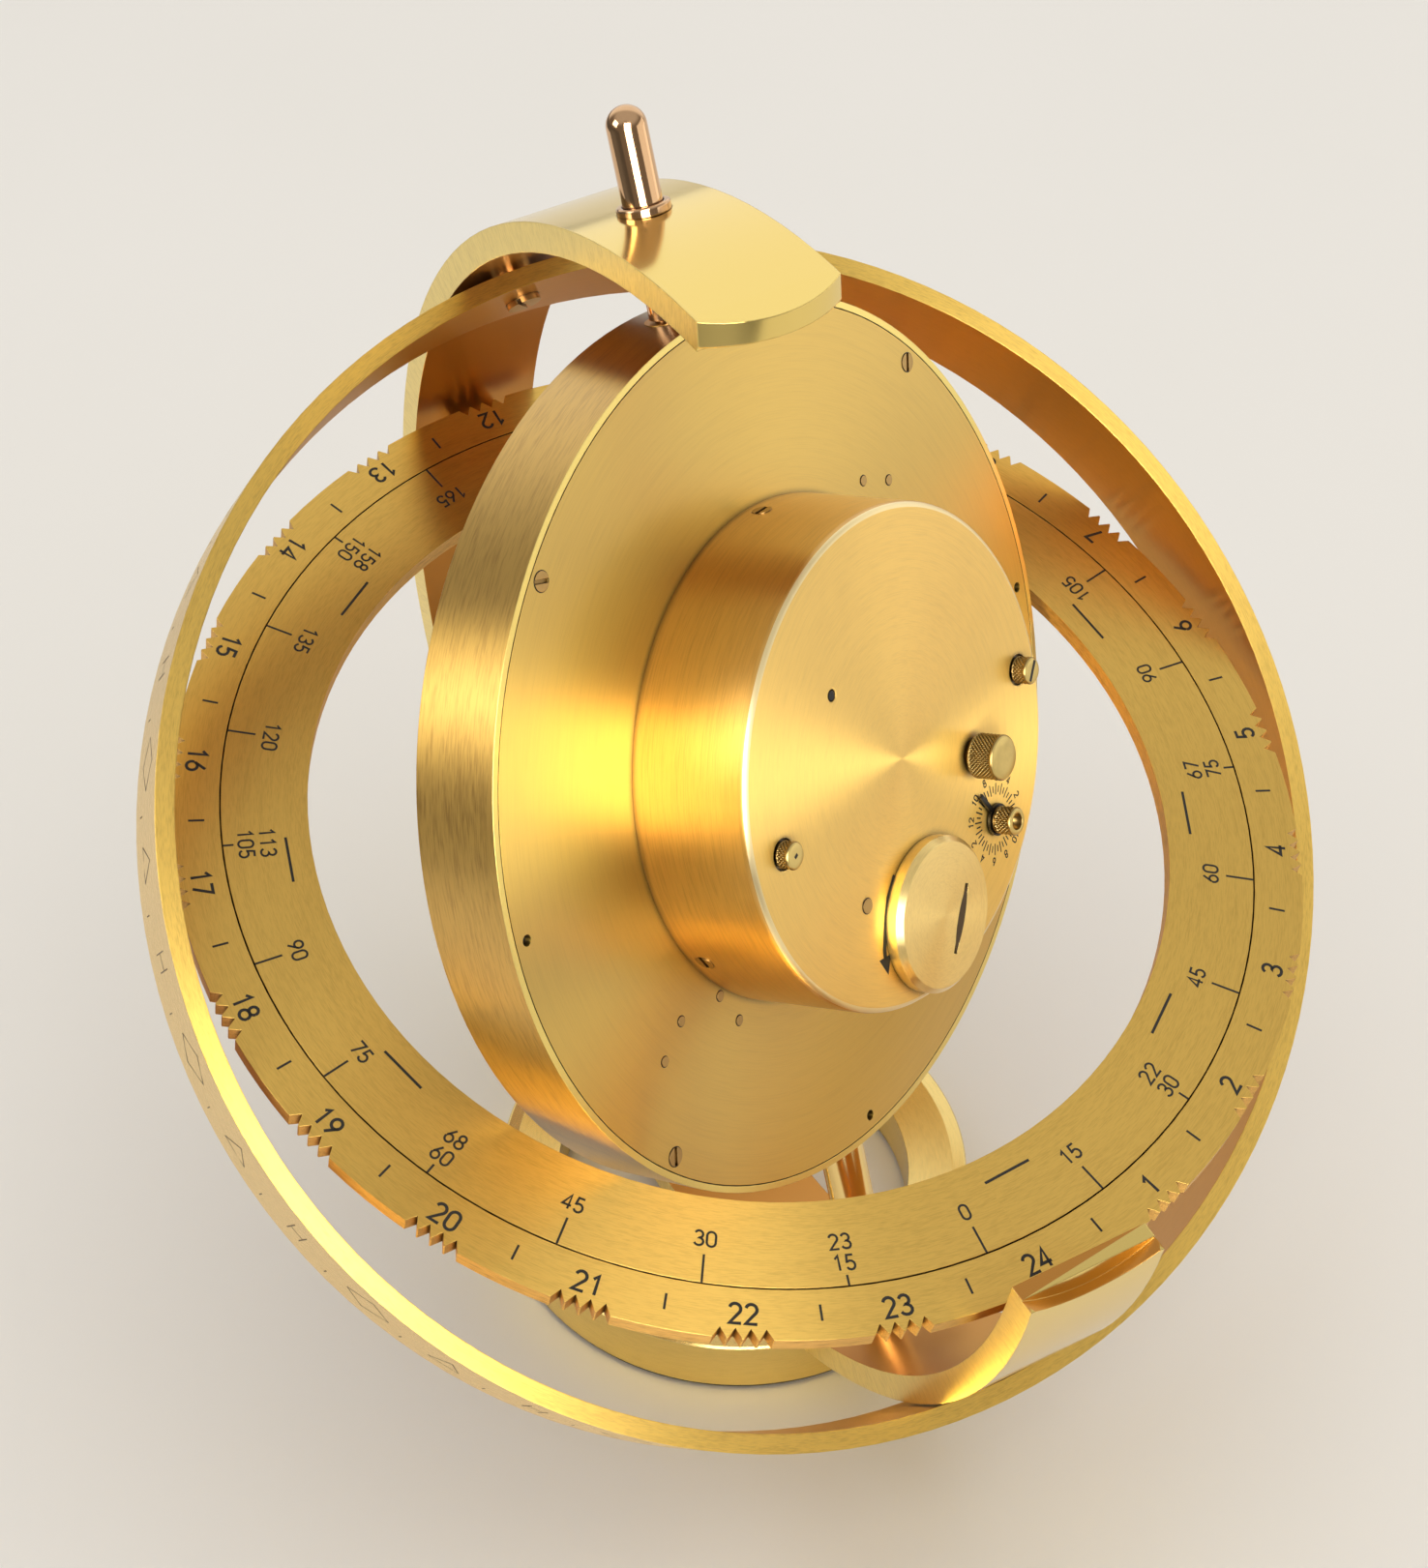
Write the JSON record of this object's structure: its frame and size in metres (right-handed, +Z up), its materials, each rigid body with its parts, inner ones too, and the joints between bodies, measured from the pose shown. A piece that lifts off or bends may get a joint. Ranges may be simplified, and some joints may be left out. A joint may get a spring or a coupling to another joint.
{
  "type": "armillary table clock",
  "caption": "Table clock in an armillary frame: a round drum clock swivels inside a meridian arc, slanted world time ring and wide outer band on a ring base.",
  "frame": {"origin": "on the table at the middle of the ring base", "axes": "+Z up; the meridian arc lies in the XZ plane with its opening toward +X; the world ring slopes down toward +X; +Y is the ring side of hour 6"},
  "size_m": [0.225, 0.224, 0.2404],
  "materials": {
    "satin_brass": "satin turned",
    "polished_brass": "mirror polished",
    "brushed_brass": "fine brushed",
    "screw_copper": "polished, pinkish",
    "steel": "bright",
    "felt": "felt",
    "glass": "clear",
    "gasket": "soft black",
    "dial_paint": "matt cream",
    "coil_wire": "enamelled winding",
    "board": "lacquered",
    "board_black": "moulded",
    "hand_black": "satin black"
  },
  "bodies": {
    "stand": {"base_pad": "felt", "base_ring": "satin_brass", "base_screws": "screw_copper", "meridian_arc": "polished_brass", "outer_band": "satin_brass", "band_spacers": "satin_brass", "band_screws": "screw_copper", "city_ring": "brushed_brass", "keeper_ring": "brushed_brass", "keeper_screws": "screw_copper", "noon_bracket": "satin_brass", "midnight_bracket": "satin_brass", "bracket_screws": "screw_copper", "finial": "polished_brass", "finial_collar": "polished_brass", "upper_pivot": "polished_brass", "lower_post": "polished_brass", "post_screw": "screw_copper"},
    "clock_head": {"case_band": "satin_brass", "upper_bush": "satin_brass", "lower_bush": "satin_brass", "front_bezel": "polished_brass", "crystal": "glass", "crystal_gasket": "gasket", "dial_plate": "dial_paint", "dial_marks": "polished_brass", "rear_plate": "brushed_brass", "plate_screws": "screw_copper", "plate_pins_set": "screw_copper", "rear_can": "satin_brass", "can_screws": "screw_copper", "can_plug": "screw_copper", "movement_front_plate": "brushed_brass", "movement_rear_plate": "brushed_brass", "pillars": "steel", "coil": "coil_wire", "coil_core": "steel", "circuit_board": "board", "battery_tube": "board_black", "contact_spring": "steel", "battery_cell": "steel", "wheel_post": "steel"},
    "hour_ring_turning": {"hour_ring": "brushed_brass"},
    "minute_work": {"cannon_pinion": "steel", "minute_hand": "hand_black"},
    "hour_work": {"hour_wheel": "brushed_brass", "hour_hand": "hand_black"},
    "minute_wheel_work": {"minute_wheel": "brushed_brass"},
    "time_setting": {"setting_arbor": "steel", "time_knob": "satin_brass"},
    "date_setting": {"date_stem": "steel", "date_knob": "satin_brass", "date_hand": "hand_black"},
    "month_setting": {"month_stem": "steel", "month_knob": "satin_brass", "month_hand": "hand_black"},
    "pointer_setting": {"pointer_knob": "satin_brass", "pointer": "hand_black"},
    "battery_cap_turning": {"battery_cap": "polished_brass"}
  },
  "joints": [
    {"name": "hour_ring_turn", "type": "hinge", "parent": "stand", "child": "hour_ring_turning", "pos_m": [0, 0, 0.1164], "axis": [0.2554, 0, 0.9668], "continuous": true},
    {"name": "head_swivel", "type": "hinge", "parent": "stand", "child": "clock_head", "pos_m": [0.0036, 0, 0.13338], "axis": [-0.4067, 0, 0.9135], "continuous": true},
    {"name": "minute_turn", "type": "hinge", "parent": "clock_head", "child": "minute_work", "pos_m": [0.0036, 0, 0.13338], "axis": [0.8326, 0.4115, 0.3707], "continuous": true},
    {"name": "hour_turn", "type": "hinge", "parent": "clock_head", "child": "hour_work", "pos_m": [0.0036, 0, 0.13338], "axis": [0.8326, 0.4115, 0.3707], "continuous": true},
    {"name": "minute_wheel_turn", "type": "hinge", "parent": "clock_head", "child": "minute_wheel_work", "pos_m": [-0.00112, 0.01093, 0.13187], "axis": [0.8326, 0.4115, 0.3707], "continuous": true},
    {"name": "time_knob_turn", "type": "hinge", "parent": "clock_head", "child": "time_setting", "pos_m": [0.01615, 0.02646, 0.12978], "axis": [0.8326, 0.4115, 0.3707], "continuous": true},
    {"name": "date_knob_turn", "type": "hinge", "parent": "clock_head", "child": "date_setting", "pos_m": [0.0342, -0.02458, 0.14591], "axis": [0.8326, 0.4115, 0.3707], "continuous": true},
    {"name": "month_knob_turn", "type": "hinge", "parent": "clock_head", "child": "month_setting", "pos_m": [0.00578, 0.04314, 0.13457], "axis": [0.8326, 0.4115, 0.3707], "continuous": true},
    {"name": "pointer_turn", "type": "hinge", "parent": "clock_head", "child": "pointer_setting", "pos_m": [0.02902, 0.03376, 0.11974], "axis": [0.8326, 0.4115, 0.3707], "range_deg": [-140, 140]},
    {"name": "battery_cap_turn", "type": "hinge", "parent": "clock_head", "child": "battery_cap_turning", "pos_m": [0.04162, 0.01276, 0.11747], "axis": [0.8326, 0.4115, 0.3707], "range_deg": [0, 60]}
  ],
  "couplings": [
    {"joint": "hour_turn", "follows": "minute_turn", "ratio": 0.083333},
    {"joint": "minute_wheel_turn", "follows": "minute_turn", "ratio": -0.33333},
    {"joint": "time_knob_turn", "follows": "minute_turn", "ratio": 1}
  ]
}
